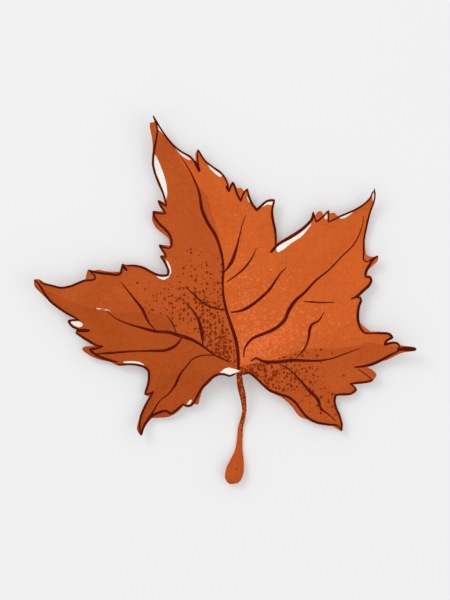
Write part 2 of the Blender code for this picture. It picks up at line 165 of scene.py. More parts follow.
# The dried rim, in strokes along the margin: greatest width, then the line
RIM_STROKES = [
    (0.9, [(-29.6, 86), (-28.7, 83.8), (-28.2, 81.3), (-28.4, 78.9), (-29.1, 75.5), (-29.6, 72.1),
     (-29.7, 70), (-29.2, 67.3), (-27.7, 63.4), (-26.2, 59.7), (-25.4, 57.1), (-25.2, 55.4)]),
    (0.9, [(-25.2, 55.4), (-26.5, 56.3), (-27.9, 57.3), (-26.9, 55.3), (-26, 53.9), (-25.4, 53)]),
    (1.1, [(-25.4, 53), (-27.5, 53), (-29.5, 53.5), (-29.3, 52), (-27.9, 49.8), (-25.8, 47.8),
     (-24.1, 45.7), (-23.4, 43.5), (-23.6, 41.8), (-24.3, 41.1)]),
    (0.9, [(-24.3, 41.1), (-25.8, 41.5), (-27.5, 42.2), (-26.5, 40.5), (-25.5, 38.9), (-25.2, 38.2)]),
    (1, [(-25.2, 38.2), (-26.2, 38.2), (-27.1, 38.4), (-26, 36.9), (-25, 35), (-24.4, 33.2),
     (-24.6, 32.2), (-26, 31.8), (-27.9, 32), (-30.3, 33), (-33, 34.5), (-35.7, 35.2), (-38.8, 35.3)]),
    (1.3, [(-38.6, 33.6), (-39.4, 34.5), (-40.1, 35.7)]),
    (1.05, [(-40.1, 35.7), (-40.4, 34.2), (-40.8, 32.6), (-41.8, 32.2), (-44.5, 32.4), (-47.6, 32.7),
     (-50.5, 33.3), (-51.7, 33.7)]),
    (0.9, [(-51.7, 33.7), (-50.5, 32.7), (-49.4, 31.5), (-49.5, 30.6), (-51, 30.3), (-52.7, 30.2),
     (-55.1, 29.3), (-57.8, 28.2), (-60.9, 27.7), (-64.3, 28.5), (-66.6, 29.1), (-68, 29.9)]),
    (0.95, [(-69.7, 30.4), (-68.2, 28.7), (-66.3, 25.5), (-64.8, 23.5), (-61.9, 21.1), (-58.5, 18.8),
     (-56.1, 17.5), (-54.9, 16.7)]),
    (0.9, [(-54.9, 16.7), (-57.1, 16.7), (-58.3, 16.5), (-57.8, 15.3), (-56.3, 14.1), (-54.7, 13.6)]),
    (1.5, [(-55.8, 13.1), (-53.7, 13.2), (-51.3, 13.2)]),
    (1, [(-56.1, 12.5), (-54.4, 11.4), (-52, 9.9), (-49.6, 8.5), (-47.9, 7.9), (-46.8, 7.9)]),
    (1.1, [(-46.8, 7.8), (-49, 7.1), (-51.3, 6.8), (-50.2, 5.7), (-48.3, 4.5), (-45.2, 3.3),
     (-41.8, 2.4)]),
    (0.95, [(-42, 1.6), (-39.4, 1.7), (-37.1, 1.8), (-34.7, 1.5), (-32.6, 0.8), (-31.3, -0.5),
     (-31.1, -2.7), (-31.5, -5.4), (-32.2, -7.5), (-32.4, -8.5), (-31.3, -8.4), (-29.6, -7.6)]),
    (0.85, [(-29.6, -7.6), (-30.9, -9.7), (-32.6, -12.9), (-33.8, -15.8), (-34.3, -18.4), (-34.1, -20.7),
     (-33.7, -22.3)]),
    (1.15, [(-33.7, -22.3), (-33.2, -20.2), (-32, -17.9), (-30.3, -16), (-27.9, -14.8), (-25.5, -14.2),
     (-23.6, -15), (-21.9, -13.9), (-19.5, -11.8)]),
    (1.05, [(-19.5, -11.8), (-18.4, -12.5), (-17, -12.3), (-16, -11.4), (-14.8, -9.2), (-13.3, -6.6),
     (-11.6, -4.6), (-9.2, -2.4), (-7.1, -1.5), (-5.4, -1.6), (-3.7, -2.1), (-1.9, -1.4)]),
    (1.05, [(0.7, -1.6), (2.6, -1.1), (4.4, -2.1), (7.5, -5), (10.2, -7.2), (13.3, -8.4), (16, -9.3),
     (18.7, -11.3), (20.7, -14), (22.8, -16.4), (25.5, -17.9), (29.9, -18.8), (33.3, -19.3),
     (34.5, -20.7)]),
    (0.9, [(34.5, -20.7), (34.4, -18.7), (33.7, -15.8), (32.5, -13.1), (32, -10.9), (32.3, -8.7),
     (34.7, -8.4), (37.4, -8.3), (39.3, -7), (38.6, -5.9), (37.2, -4.9)]),
    (0.9, [(37.2, -4.9), (39.8, -4.6), (42.8, -4.2), (44.9, -3.6)]),
    (0.45, [(44.9, -3.6), (42.3, -1.5), (39.8, 0.2)]),
    (1.1, [(38.8, 0.7), (41.5, 1), (44.5, 1.7), (47.9, 3.2), (51.3, 5.1), (53.7, 6.3)]),
    (1.8, [(53.2, 6.7), (55.1, 7), (57.1, 7), (59.4, 6.9)]),
    (1, [(53.6, 7.1), (53.8, 8.2), (52.7, 9), (51, 8.9), (49, 8.3), (49.5, 9.6), (51.5, 10.9),
     (50.7, 11.8), (47.6, 12.3), (43.9, 12.2)]),
    (1.1, [(44.2, 12.2), (42.2, 12.5), (40.8, 14.1), (40, 16.5), (39.9, 19.4), (40.3, 21.8),
     (40.9, 23.5), (40.6, 24.4), (39.4, 24.5)]),
    (1.15, [(37.7, 23.9), (39.6, 24.9), (41.8, 26.9), (43.7, 28.7), (44.4, 30.4), (43.9, 31.3),
     (42.5, 31.3)]),
    (1.15, [(42.5, 31.2), (42.6, 33), (43.7, 35.2), (45.2, 37.4), (46.6, 38.5)]),
    (0.75, [(46.6, 38.5), (44.7, 37.5), (42.8, 36.6), (42.1, 37.1), (42, 39.8), (42, 43.5), (42.8, 48.3),
     (44, 53.2), (45.4, 57.5), (45.6, 59.5), (45.3, 61.3)]),
    (0.75, [(44.9, 60.4), (44.2, 58.5), (42.2, 56.3), (39.3, 54.4), (36, 52.9), (33.9, 52), (31.7, 50.9),
     (29.9, 50.1), (29.9, 52), (30, 53.9)]),
    (0.75, [(30, 53.9), (28.2, 52.1), (26.7, 50.8), (25.8, 50.1), (25.2, 51.7), (24.8, 53.4)]),
    (1.3, [(24.8, 53.4), (24.4, 51.3), (22.6, 49), (20.1, 46.9), (17, 44.9), (13.8, 43.1), (11.9, 41.7),
     (10.3, 40)]),
    (1, [(11.9, 42.2), (12, 44.4), (11.7, 47.6), (11, 50.8), (10.7, 53.7), (11.5, 57.5)]),
    (1, [(11.5, 57.5), (9, 57.1), (7, 55.5), (5.5, 54.1), (3.8, 56.5), (2.8, 59), (2.3, 61.3)]),
    (0.95, [(2.3, 61.3), (1.2, 60), (0.1, 57.3), (-1, 59.3), (-2.2, 62.6), (-2.7, 63.5), (-3.3, 62.1),
     (-3.9, 60.5)]),
    (0.75, [(-3.9, 60.5), (-4.5, 63.2), (-6, 66.1), (-9.2, 68.6), (-12.1, 70.9), (-13.6, 73.1),
     (-14.4, 74.5), (-14.6, 71.9), (-13.8, 67.3)]),
    (0.75, [(-13.8, 67.3), (-15.2, 69.9), (-17, 72.1), (-20.4, 74.2), (-23, 76.3), (-26.2, 80.3),
     (-29.6, 86)]),
    (1.5, [(-15.6, 70.8), (-14.7, 69.2), (-13.9, 67.3)]),
    (1.3, [(-4.8, 62.4), (-4.3, 61.4), (-3.8, 60.4)]),
    (1.3, [(12.4, 42), (11.2, 40.8), (10.2, 39.7)]),
]

# Where the light colour gives way to the middle one: down the middle lobe, along its vein to the
# stalk and out along the right base lobe. The light side is to the right of the line and above it.
# The light colour is painted light on the lit faces of the blade's folds, the middle one painted shade.
PAINTED_LIT_BORDER = [
    (-24, 90), (-22.5, 77), (-21.1, 72.4), (-18.4, 68), (-11.2, 58.8), (-9.9, 53.9), (-8, 47.3),
    (-7.1, 44.5), *RIBS["middle"][8:0:-1], (-0.7, 0.7), (1.7, 1.4), (12.6, 3.7), (19.2, 6.1),
    (22.4, 7.1), (32.3, 7.1), (38.8, 7.8), (44.2, 9.2), (45.7, 8.8), (52.7, 7.8), (65, 7),
]
PAINTED_LIT_CORNER = [(65, 95), (-24, 95)]

# Where the middle colour gives way to the dark one: across the left lobe and along its vein. The
# dark colour is the deepest painted shade, on the faces of the folds turned from the light.
PAINTED_SHADE_BORDER = [
    (-75, 29.5), (-67.3, 27.9), (-62.6, 25.5), (-59.2, 23.5), (-53.7, 21.6), (-49, 20.4),
    (-44.2, 19.4), (-27.9, 19), (-24.5, 18.4), (-21.8, 12.6), *RIBS["left"][4:0:-1], (-0.7, 0),
    (-0.7, -8),
]
PAINTED_SHADE_CORNER = [(-0.7, -45), (-75, -45)]

# Clouds of specks: x, y, reach along x, reach along y, turn in degrees, share of specks in the middle
DARK_CLOUDS = [
    (-6.5, 8, 8.5, 5, 112, 1), (-10, 15, 7, 6, 110, 0.46), (-10, 25, 9, 7, 105, 0.28),
    (-14, 32, 9, 8, 110, 0.22), (-24, 23, 10, 6, 0, 0.28), (-15, 21, 9, 5, 0, 0.28),
    (4.5, 0, 8, 2.7, -18, 1), (9.5, -2.8, 9, 4, -36, 0.68), (18, -2, 9, 5, -25, 0.35),
    (24, -3, 10, 6, 0, 0.18), (25, -11, 7, 5, -45, 0.16), (24, 6.3, 9, 1.8, 0, 0.26),
    (15, 4.2, 6, 1.6, 12, 0.55),
]
# The pale specks are painted highlights, mottled over the painted light side near the stalk.
PAINTED_HIGHLIGHTS = [
    (5, 8, 8.5, 6, 45, 1), (12, 9.5, 9, 5, 15, 0.8), (2, 21, 10, 5, 100, 0.6), (20, 15, 12, 8, 30, 0.4),
    (0, 36, 9, 5, 100, 0.2), (10, 27, 9, 5, 45, 0.3),
]

# Dry, bleached strips between the blade's colour and its dark rim, as closed lines
BLEACHED = [
    [(-29.2, 73.2), (-28.7, 72.6), (-27.3, 69.5), (-26, 66), (-25.2, 63), (-24.9, 60), (-25.2, 57.5),
     (-26, 60), (-27.5, 63.5), (-29, 67), (-29.6, 70)],
    [(-28.9, 84.6), (-27.9, 83), (-26.2, 80.8), (-24.8, 79), (-26, 79.6), (-27.8, 81.3), (-28.6, 82.8)],
    [(-22.8, 75.9), (-20.2, 73.9), (-18.3, 72.6), (-16.6, 71.3), (-17.3, 71.1), (-19.5, 72.3),
     (-21, 73.7)],
    [(-14.8, 74.3), (-14.1, 74.2), (-14, 73.2), (-14.6, 73)],
    [(-11.6, 70.3), (-9.3, 68.3), (-6.2, 65.9), (-6.9, 65.4), (-8.4, 66.4), (-10, 67.8)],
    [(1.6, 60.2), (2.5, 58.4), (3.4, 56.6), (2.6, 57.2)],
    [(6, 54.6), (7.4, 55.6), (9.1, 56.9), (10.9, 57.1), (10.8, 55.9), (9, 56), (7.5, 55.3)],
    [(24.6, 51), (22.8, 48.7), (20.3, 46.5), (17.2, 44.5), (14, 42.8), (12, 41.6), (12.2, 40.6),
     (12.7, 39.7), (14.6, 40.8), (17.2, 42.9), (20.4, 44.9), (22.2, 46.8), (23.8, 48.9)],
    [(28.4, 51.7), (29.4, 52.9), (29.5, 51.3), (28.9, 51)],
    [(33.2, 51.6), (35.7, 52.7), (38.6, 53.9), (37.6, 52.8), (36, 51.7), (34.4, 51.2)],
    [(45, 60.6), (45.5, 58.5), (44.9, 56.6), (44.7, 58.8)],
    [(-25.6, 37.9), (-25, 36), (-24.3, 34), (-24.2, 32.6), (-25, 31.8), (-26.5, 31.6), (-28.9, 32.2),
     (-27.8, 31), (-26, 30.4), (-24.4, 31.3), (-23.5, 33), (-23.9, 35), (-24.7, 36.8)],
    [(-57.6, 16.3), (-55.2, 16.4), (-53.6, 15.6), (-53.8, 14.7), (-55, 14.3), (-56.6, 14.9),
     (-57.6, 15.6)],
    [(-49.3, 20.9), (-47, 20.6), (-45.2, 20.3), (-43.9, 19.6), (-45.4, 20), (-47, 20.3), (-48.9, 20.5)],
    [(-40, 2.2), (-37, 2.1), (-34.6, 1.9), (-32.6, 1.1), (-32.9, 1.8), (-34.2, 2.5), (-36.4, 2.8),
     (-39.6, 2.7)],
    [(-18.4, -11.9), (-17.2, -11.9), (-16.5, -10.6), (-17, -10.2)],
    [(-7.4, -1.3), (-5.4, -1.3), (-3.7, -1.8), (-2, -1.2), (-0.6, -0.6), (-0.3, -0.1), (-2, 0.2),
     (-4, 0.7), (-5.4, 0.3)],
]

# The leaf's arched shape, the same as that of the solid that it stands for, in millimetres
BLADE_TOP = 0.9          # height of the flat blade's upper side
ARCH_HEIGHT = 6.0        # lift of the stalk's joint above the lobes' touching places
TOUCH_LENGTH = 1.12      # a lobe touches the ground from 1 to this times its touching radius
CURL_POWER = 1.8
CURL_LIMIT = 1.2         # the curl goes on to this share of the way to the tip
LOBE_FOCUS = 12.0        # how sharply one lobe's values give way to the next one's
PILLOW_HEIGHT = 1.1      # rise of the blade between its main ribs
PILLOW_WIDTH = 5.0
RIB_CLEARANCE = 1.0
WAVE_HEIGHT = 0.8
WAVE_LIMIT = 1.3         # the wave grows up to this many touching radii
RIB_RADII = (0.75, 0.3)  # main rib at its root and tip

# Direction in degrees, touching radius, tip radius and lift of the tip, for each lobe and the stalk
LOBES = np.array([
    (109.0, 56.0, 91.0, 4.5),
    (53.6, 48.0, 76.5, 3.0),
    (6.6, 38.0, 60.0, 3.5),
    (-31.6, 25.0, 40.4, 2.5),
    (-90.0, 24.0, 42.0, 0.0),
    (213.8, 25.0, 40.7, 3.0),
    (156.4, 47.0, 76.4, 5.0),
])

# The stalk's thickness, fibres and colour
STALK_FLATTENING = 0.8
STALK_SEAT = 0.12        # how deep the stalk's underside is pressed flat
FOOT_MIDDLE = -35.0      # y past which the stalk's foot is round beneath too
FIBRES = 9               # ridges round the slim part
FIBRE_HEIGHT = 0.035     # as a share of the half width
FIBRE_TWIST = 0.4        # how fast the ridges wander, in radians of their wave for a millimetre
SLIM_HALF_WIDTH = 1.6    # fibres show on what is slimmer
SLIM_START = -26.0       # y where the freckles on the slim part begin
SLIM_RUN = 15.0          # how much farther up they are at their thickest
FEWEST_SPECKS = 0.05     # their share on the foot
FOOT_END = -38.0         # y past which the foot turns brown

# The blade's fine shape
PUCKER_WIDTH = 2.4       # how fast the blade rises beside a vein
RUFFLE_REACH = 5.0       # how far in from the margin the ruffle goes
EDGE_REACH = 1.0         # how far in from the margin the blade thins
CREASE_HEIGHT = 0.12
CREASE_CLEARANCE = 2.0   # the creases fade out over this distance from a vein
NET_SIZE = 3.2           # width of one field of the coarse vein net
NET_WIDTH = 0.32
VEIN_SUNK = 0.5          # how deep a vein lies in the blade, as a share of the blade's thickness
RIB_SUNK = 0.4
FINE_RIB_RADII = (0.4, 0.18)

# How finely the shapes are divided
SPAN_STEPS = 12          # points worked out between two given ones
SHARP_TURN = 65          # a rim stroke is cut where it turns by more than these degrees
MARGIN_SPACING = 0.5
VEIN_SPACING = 0.6
RIM_SPACING = 0.45
RIB_SPACING = 0.8
STALK_SPACING = 0.35
RING_SIDES = 10
STALK_SIDES = 32
LINE_END = 0.6           # how far past its last ring a vein, rib or stroke ends, in half widths
STALK_END = 0.1
LATTICE_GAP = 0.55       # least distance from the margin to the lattice, in cells
SAME_PLACE = 1e-5        # points of the blade that are closer become one
SHARP_EDGE = 60          # faces that meet at more than these degrees keep a crisp edge
BLOCK = 64               # how many line steps are compared with all points at a time

# The stage: places and sizes in metres, and the view in millimetres
FLOOR_REACH = 4.0
KEY_PLACE = (-0.9, 0.9, 1.5)
KEY_SIZE = 0.9
FILL_PLACE = (1.0, -0.5, 1.4)
FILL_SIZE = 1.2
VIEW_CENTRE = (-5.27, 23.58)
VIEW_HEIGHT = 204.7


def linear(red, green, blue):
    """Scene-linear colour of an 8-bit display colour: ((v + 0.055) / 1.055) to the power 2.4."""
    shares = np.array([red, green, blue]) / 255
    return tuple(np.where(shares <= 0.04045, shares / 12.92, ((shares + 0.055) / 1.055) ** 2.4))


# Settings in the sidebar

def length(name, description, millimetres):
    """A length setting, given in millimetres."""
    return FloatProperty(name=name, description=description, default=millimetres * MM, min=0.0,
                         precision=5, unit="LENGTH")


def colour(name, description, *shares):
    """A colour setting, given as 8-bit display values."""
    return FloatVectorProperty(name=name, description=description, default=linear(*shares),
                               size=3, min=0.0, max=1.0, subtype="COLOR")


def amount(name, description, default, unit="NONE"):
    """A number setting that isn't negative."""
    return FloatProperty(name=name, description=description, default=default, min=0.0, unit=unit)


class MapleLeafSizes(bpy.types.PropertyGroup):
    """Lengths of the leaf's fine shape."""

    cell: length("Cell", "Distance between the points of the blade's mesh", 0.43)
    blade: length("Blade", "Thickness of the blade between its veins", 0.34)
    edge: length("Edge", "Thickness of the blade at its margin", 0.16)
    pucker: length("Pucker", "How high the blade swells between its veins", 0.42)
    groove: length("Groove", "Depth of the fine vein net on the upper side", 0.05)
    ruffle: length("Ruffle", "How far the margin waves up and down", 0.55)
    vein_rise: length("Vein rise", "How far a dark vein stands above the blade", 0.2)
    rim_rise: length("Rim rise", "How far the dried rim stands above and below the blade", 0.12)
    rib_depth: length("Rib depth", "How far a main rib stands out beneath the blade", 0.5)


class MapleLeafColours(bpy.types.PropertyGroup):
    """Colours of the leaf."""

    # Light, middle and dark are painted light and shade: the lit and shaded faces of the blade's folds.
    light: colour("Light", "Blade on the bright side", 213, 98, 39)
    # Glow and the pale speck colour are painted highlights near the stalk, on the painted light side.
    glow: colour("Glow", "Bright blade close to the stalk", 217, 99, 45)
    middle: colour("Middle", "Blade between bright and dark", 192, 86, 34)
    dark: colour("Dark", "Blade on the dark side", 180, 79, 27)
    underside: colour("Underside", "Blade seen from beneath", 191, 117, 76)
    dark_speck: colour("Dark speck", "Freckles near the stalk", 131, 44, 5)
    speckled_highlight: colour("Light speck", "Pale freckles near the stalk", 236, 123, 64)
    bleached: colour("Bleached", "Papery dry strips inside the rim", 254, 248, 239)
    vein: colour("Vein", "Veins on the upper side and the dried rim", 88, 19, 2)
    stalk: colour("Stalk", "Stalk and its foot", 190, 84, 33)


class MapleLeafStage(bpy.types.PropertyGroup):
    """Floor, lights and camera."""

    floor: colour("Floor", "Colour of the floor", 215, 215, 216)
    floor_glow: amount("Floor glow", "Light that the floor gives by itself", 0.18)
    lens: amount("Lens", "Focal length of the camera", 200.0, "CAMERA")
    key: amount("Key", "Power of the main light", 10.0, "POWER")
    fill: amount("Fill", "Power of the light from the other side", 4.5, "POWER")
    sky: amount("Sky", "Strength of the light from all round", 0.75)


# Lines

def smooth_curve(knots, spacing):
    """Evenly spaced points on a smooth curve through the knots.

    Between two knots the curve is the cubic that starts and ends at them with the slopes there, which
    are central differences over the chord lengths. It is then read off at equal distances along it.
    """
    knots = np.asarray(knots, dtype=float)
    chord = np.hypot(*np.diff(knots[:, :2], axis=0).T)
    slope = np.gradient(knots, np.append(0, chord.cumsum()), axis=0)
    scale = chord[:, None, None]
    start, end = knots[:-1, None], knots[1:, None]
    leaving, arriving = slope[:-1, None] * scale, slope[1:, None] * scale
    t = np.linspace(0, 1, SPAN_STEPS, endpoint=False)[None, :, None]
    curve = ((1 + 2 * t) * (1 - t) ** 2 * start + t * (1 - t) ** 2 * leaving
             + t ** 2 * (3 - 2 * t) * end + t ** 2 * (t - 1) * arriving)
    curve = np.vstack([curve.reshape(-1, knots.shape[1]), knots[-1]])
    way = np.append(0, np.hypot(*np.diff(curve[:, :2], axis=0).T).cumsum())
    even = np.linspace(0, way[-1], max(int(np.ceil(way[-1] / spacing)), 2) + 1)
    return np.stack([np.interp(even, way, column) for column in curve.T], axis=1)


@lru_cache(maxsize=None)
def margin_ring(spacing):
    """The closed margin as one ring of points, sharp where its runs meet."""
    runs = []
    for run, after in zip(MARGIN, MARGIN[1:] + MARGIN[:1]):
        runs.append(smooth_curve(run + after[:1], spacing)[:-1])
    return np.vstack(runs)


def stroke_line(knots):
    """A rim stroke that keeps its sharp turns: it is cut in two there."""
    knots = np.asarray(knots, dtype=float)
    step = np.diff(knots, axis=0)
    heading = np.arctan2(step[:, 1], step[:, 0])
    turn = np.abs((np.diff(heading) + np.pi) % (2 * np.pi) - np.pi)
    cuts = [0, *(np.flatnonzero(turn > radians(SHARP_TURN)) + 1), len(knots) - 1]
    runs = [smooth_curve(knots[a:b + 1], RIM_SPACING) for a, b in zip(cuts[:-1], cuts[1:])]
    return np.vstack([run[:-1] for run in runs[:-1]] + [runs[-1]])


def line_distance(x, y, lines):
    """Distance in plan from each point to the nearest of the broken lines.

    The place along a step is (offset . step) / (step . step), kept within 0 to 1, and the distance is
    the length of the offset less that share of the step.
    """
    start = np.concatenate([np.asarray(line)[:-1, :2] for line in lines])
    step = np.concatenate([np.diff(np.asarray(line)[:, :2], axis=0) for line in lines])
    nearest = np.full(len(x), np.inf)
    for first in range(0, len(start), BLOCK):
        (ax, ay), (sx, sy) = start[first:first + BLOCK].T, step[first:first + BLOCK].T
        dx, dy = x[:, None] - ax, y[:, None] - ay
        along = np.clip((dx * sx + dy * sy) / (sx ** 2 + sy ** 2), 0, 1)
        nearest = np.minimum(nearest, np.hypot(dx - along * sx, dy - along * sy).min(axis=1))
    return nearest


def margin_distance(x, y, spacing=MARGIN_SPACING):
    """Distance in plan from each point to the nearest point of the margin's ring."""
    ring = margin_ring(spacing)
    nearest = np.full(len(x), np.inf)
    for first in range(0, len(ring), BLOCK):
        rx, ry = ring[first:first + BLOCK].T
        squared = (x[:, None] - rx) ** 2 + (y[:, None] - ry) ** 2
        nearest = np.minimum(nearest, squared.min(axis=1))
    return np.sqrt(nearest)


def inside(x, y, corners):
    """True where the closed line through the corners crosses the point's row an odd number of times to
    the left of the point. y holds the height of each row, and x the rows' points."""
    ax, ay = np.asarray(corners, dtype=float).T
    bx, by = np.roll(ax, -1), np.roll(ay, -1)
    spans = (ay <= y[:, None]) != (by <= y[:, None])
    rise = np.where(by == ay, 1.0, by - ay)
    crossing = np.where(spans, ax + (y[:, None] - ay) / rise * (bx - ax), np.inf)
    most = max(spans.sum(axis=1).max(), 1)
    crossing = np.partition(crossing, most - 1, axis=1)[:, None, :most]
    return (crossing < x[:, :, None]).sum(axis=2) % 2 == 1


def border_distance(x, y, border, corner):
    """Distance to a colour border, positive in the region that the border and corner points enclose."""
    side = np.where(inside(x[:, None], y, border + corner)[:, 0], 1.0, -1.0)
    return side * line_distance(x, y, [border])


def patch_depth(x, y, patches):
    """How far inside the nearest patch each point lies: positive in a patch, negative outside."""
    return np.max([border_distance(x, y, corners + corners[:1], []) for corners in patches], axis=0)


def cloud_density(x, y, clouds):
    """Share of specks at each point: 1 minus the product over the clouds of 1 - share * exp(-r^2), where
    r is the distance from the cloud's middle over its reach."""
    clear = np.ones(len(x))
    for cx, cy, reach_x, reach_y, turn, share in clouds:
        cosine, sine = np.cos(radians(turn)), np.sin(radians(turn))
        along = ((x - cx) * cosine + (y - cy) * sine) / reach_x
        across = ((y - cy) * cosine - (x - cx) * sine) / reach_y
        clear *= 1 - share * np.exp(-along ** 2 - across ** 2)
    return 1 - clear


def net_distance(x, y):
    """Distance to the nearest border between the fields of the coarse vein net.

    Each field surrounds one point of a gently bent square grid. A point is shifted by the fraction of
    a large sine of its own, and the border is where the two nearest points are equally far.
    """
    u = x / NET_SIZE + 0.25 * np.sin(0.35 * y)
    v = y / NET_SIZE + 0.25 * np.sin(0.31 * x + 1)
    gaps = []
    for i in np.floor(u) + [[-1], [0], [1]]:
        for j in np.floor(v) + [[-1], [0], [1]]:
            shift = np.sin(i * 127.1 + j * 311.7) * 43758.5
            other = np.sin(i * 269.5 + j * 183.3) * 43758.5
            gaps.append(np.hypot(i + 0.1 + 0.8 * (shift % 1) - u, j + 0.1 + 0.8 * (other % 1) - v))
    first, second = np.sort(gaps, axis=0)[:2]
    return (second - first) * NET_SIZE / 2


# Heights

def lobe_values(x, y):
    """Touching radius, tip radius and tip lift at each point: the values of all lobes, weighed by
    exp(focus * (cos(angle between the point and the lobe) - 1))."""
    angle = np.arctan2(y, x)[:, None]
    weight = np.exp(LOBE_FOCUS * (np.cos(angle - np.radians(LOBES[:, 0])) - 1))
    return (weight @ LOBES[:, 1:] / weight.sum(axis=1, keepdims=True)).T


def relief(x, y):
    """Height of the arched shape over the flat leaf.

    Arch: half a cosine wave from the stalk's joint down to nothing at the touching radius.
    Curl: the part of the lobe past its touching strip rises as a power of the way to its tip.
    Pillow: the blade rises away from its ribs, 1 - exp(-(distance / width) squared).
    Wave: a slow ripple that grows towards the tips and with the distance from the ribs.
    """
    touch, tip, lift = lobe_values(x, y)
    radius = np.hypot(x, y)
    way = radius / touch
    arch = ARCH_HEIGHT * (1 + np.cos(np.pi * np.minimum(way, 1))) / 2
    past = (radius - TOUCH_LENGTH * touch) / (tip - TOUCH_LENGTH * touch)
    curl = lift * np.clip(past, 0, CURL_LIMIT) ** CURL_POWER
    away = np.maximum(line_distance(x, y, [*RIBS.values(), STALK]) - RIB_CLEARANCE, 0)
    pillow = 1 - np.exp(-(away / PILLOW_WIDTH) ** 2)
    ripple = 1 + np.sin(0.33 * x + 0.9) * np.cos(0.29 * y - 0.5)
    return arch + curl + pillow * (PILLOW_HEIGHT + WAVE_HEIGHT * ripple * np.clip(way, 0, WAVE_LIMIT))


def blade_heights(x, y, sizes):
    """Heights of the blade's upper side and underside.

    The upper side is the arched shape, plus a pucker 1 - exp(-(distance to a vein / width) squared),
    plus a ruffle of two crossing sine waves that fades as exp(-distance to the margin / reach), plus
    small creases, less a groove exp(-(distance to the vein net / width) squared). The underside lies
    the blade's thickness below it, with the grooves standing out there instead.
    """
    beside = line_distance(x, y, [line for _, line in VEINS])
    within = margin_distance(x, y)
    pucker = sizes.pucker / MM * (1 - np.exp(-(beside / PUCKER_WIDTH) ** 2))
    waves = np.sin(0.43 * x + 0.27 * y + 1) + np.sin(0.52 * y - 0.31 * x + 2.2)
    ruffle = sizes.ruffle / MM * (1 + waves / 2) * np.exp(-within / RUFFLE_REACH)
    crease = CREASE_HEIGHT * np.sin(1.1 * x + 0.8 * np.sin(0.6 * y)) * np.sin(0.9 * y + np.sin(0.7 * x))
    net = sizes.groove / MM * np.exp(-(net_distance(x, y) / NET_WIDTH) ** 2)
    upper = BLADE_TOP + relief(x, y) + pucker + ruffle + crease * np.minimum(beside / CREASE_CLEARANCE, 1)
    full = np.minimum(within / EDGE_REACH, 1)
    thickness = sizes.edge / MM + (sizes.blade - sizes.edge) / MM * full
    return upper - net, upper - thickness - net


# Meshes

def joint_place():
    """Where stalk and blade meet in the frame, in millimetres. The solid's box ends at the margin's
    farthest points to the right and at the top, and at the ground."""
    low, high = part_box(LEAF_NODE)
    right, top = margin_ring(MARGIN_SPACING).max(axis=0)
    return np.array([high.x / MM - right, high.y / MM - top, low.z / MM])


def placed(name, data):
    """A new object with that data, in the scene."""
    thing = bpy.data.objects.new(name, data)
    bpy.context.scene.collection.objects.link(thing)
    return thing


def grown_piece(name, points, faces, paint, attributes=None):
    """A piece of the leaf from points in millimetres: placed in the frame and riding on its body.
    paint makes its material from the colour settings."""
    mesh = bpy.data.meshes.new(name)
    mesh.from_pydata(((points + joint_place()) * MM).tolist(), [], faces)
    for attribute, values in (attributes or {}).items():
        layer = mesh.attributes.new(attribute, "FLOAT", "POINT")
        layer.data.foreach_set("value", np.asarray(values, dtype=np.float32))
    mesh.materials.append(paint(bpy.context.scene.maple_colours))
    mesh.shade_smooth()
    mesh.set_sharp_from_angle(angle=radians(SHARP_EDGE))
    piece = placed(name, mesh)
    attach(piece, "root")
    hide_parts(LEAF_NODE)
    return piece


def lattice(ring, cell):
    """Points of a triangular lattice inside the ring, none of them close to it."""
    low, high = ring.min(axis=0), ring.max(axis=0)
    rows = np.arange(low[1], high[1], cell * np.sqrt(3) / 2)
    x, y = np.meshgrid(np.arange(low[0], high[0], cell), rows)
    x[1::2] += cell / 2
    within = inside(x, rows, ring)
    x, y = x[within], y[within]
    clear = margin_distance(x, y, cell) > LATTICE_GAP * cell
    return np.stack([x[clear], y[clear]], axis=1)


def blade_mesh(cell):
    """The blade's plan as points and triangles, with the margin's points first, in order. Triangles
    that bridge a notch of the margin from outside are left out."""
    ring = margin_ring(cell)
    count = len(ring)
    edges = [(first, (first + 1) % count) for first in range(count)]
    points = np.vstack([ring, lattice(ring, cell)])
    plan, _, triangles, *_ = delaunay_2d_cdt(points.tolist(), edges, [], 1, SAME_PLACE, False)
    plan, triangles = np.array([tuple(point) for point in plan]), np.array(triangles)
    spanning = np.flatnonzero((triangles < count).all(axis=1))
    middle = plan[triangles[spanning]].mean(axis=1)
    outside = spanning[~inside(middle[:, :1], middle[:, 1], ring)[:, 0]]
    return plan, np.delete(triangles, outside, axis=0), count


def tube_faces(rings, sides, first):
    """Faces of a closed tube: four-sided between rings, and fans round a point at each end."""
    ring, side = np.meshgrid(np.arange(rings - 1), np.arange(sides), indexing="ij")
    here, after = first + ring * sides + side, first + ring * sides + (side + 1) % sides
    walls = np.stack([here, after, after + sides, here + sides], axis=-1).reshape(-1, 4)
    here, after = here[0], after[0]
    to_last = (rings - 1) * sides
    tail = np.full(sides, first + rings * sides)
    start = np.stack([tail, after, here], axis=1)
    end = np.stack([tail + 1, here + to_last, after + to_last], axis=1)
    return walls.tolist() + start.tolist() + end.tolist()


def swept_rings(line, half_width, sides, ahead):
    """Plan points of the rings along a line, and the height share of each ring point.

    A ring point lies cos(turn) half widths to the side of the line, square to the mean direction of
    the steps before and after, and its height share is sin(turn). The two end points lie that many
    half widths ahead of their rings.
    """
    direction = np.gradient(line, axis=0)
    direction /= np.hypot(*direction.T)[:, None]
    aside = np.stack([-direction[:, 1], direction[:, 0]], axis=1)
    turn = np.linspace(0, 2 * np.pi, sides, endpoint=False)
    across = aside[:, None] * half_width[:, None, None] * np.cos(turn)[None, :, None]
    plan = (line[:, None] + across).reshape(-1, 2)
    ends = line[[0, -1]] + direction[[0, -1]] * half_width[[0, -1], None] * [[-ahead], [ahead]]
    share = np.append(np.tile(np.sin(turn), len(line)), [0.0, 0.0])
    return np.vstack([plan, ends]), share


